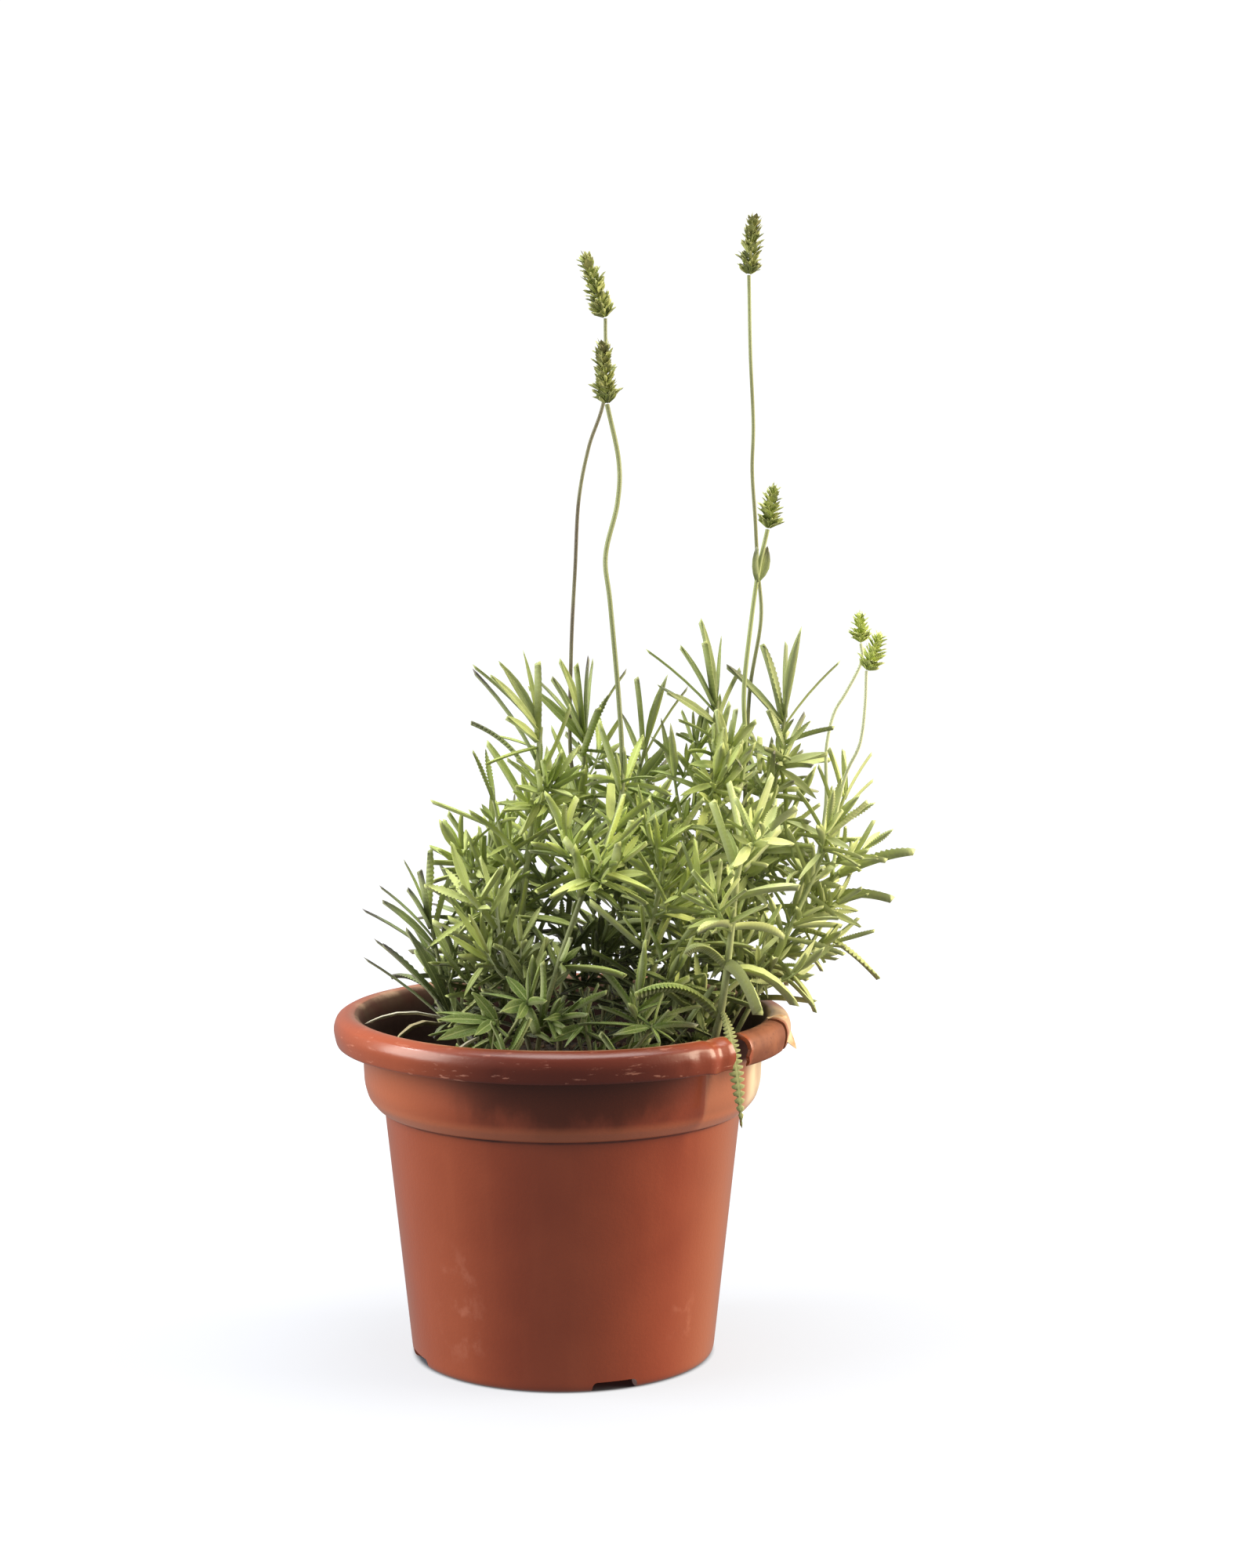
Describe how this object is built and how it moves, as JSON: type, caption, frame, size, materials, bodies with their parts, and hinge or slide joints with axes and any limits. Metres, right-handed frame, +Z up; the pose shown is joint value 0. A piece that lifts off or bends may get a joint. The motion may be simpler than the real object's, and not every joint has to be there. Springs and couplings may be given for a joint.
{
  "type": "potted lavender",
  "caption": "Fringed lavender with leafy shoots and green flower spikes on tall stalks, growing in a worn terracotta-brown plastic nursery pot.",
  "frame": {"origin": "on the pot's axis, at the underside of its base, where it rests on the table", "axes": "+Z up along the pot's axis, -Y to the front as in the picture, +X to the right, towards which the plant leans"},
  "size_m": [0.255, 0.2, 0.497],
  "materials": {
    "pot_plastic": "satin",
    "potting_soil": "matte",
    "foliage": "satin",
    "flower_buds": "matte"
  },
  "bodies": {
    "root": {"pot": "pot_plastic", "soil": "potting_soil", "shoot_left": "foliage", "shoot_left_tall": "foliage", "shoot_left_back": "foliage", "stem_tall_green": "foliage", "shoot_middle": "foliage", "shoot_right_tall": "foliage", "shoot_right_back": "foliage", "shoot_right": "foliage", "shoot_far_right": "foliage", "stem_front_right": "foliage", "rosette_front_left": "foliage", "rosette_front_middle": "foliage", "shoot_centre": "foliage", "shoot_centre_left": "foliage", "shoot_back_left": "foliage", "shoot_back_middle": "foliage", "shoot_back_right": "foliage", "flower_head_left_top": "flower_buds", "flower_head_left_low": "flower_buds", "flower_head_middle": "flower_buds", "flower_head_right_top": "flower_buds", "flower_head_right_low": "flower_buds", "flower_head_right_front": "flower_buds"}
  },
  "joints": []
}
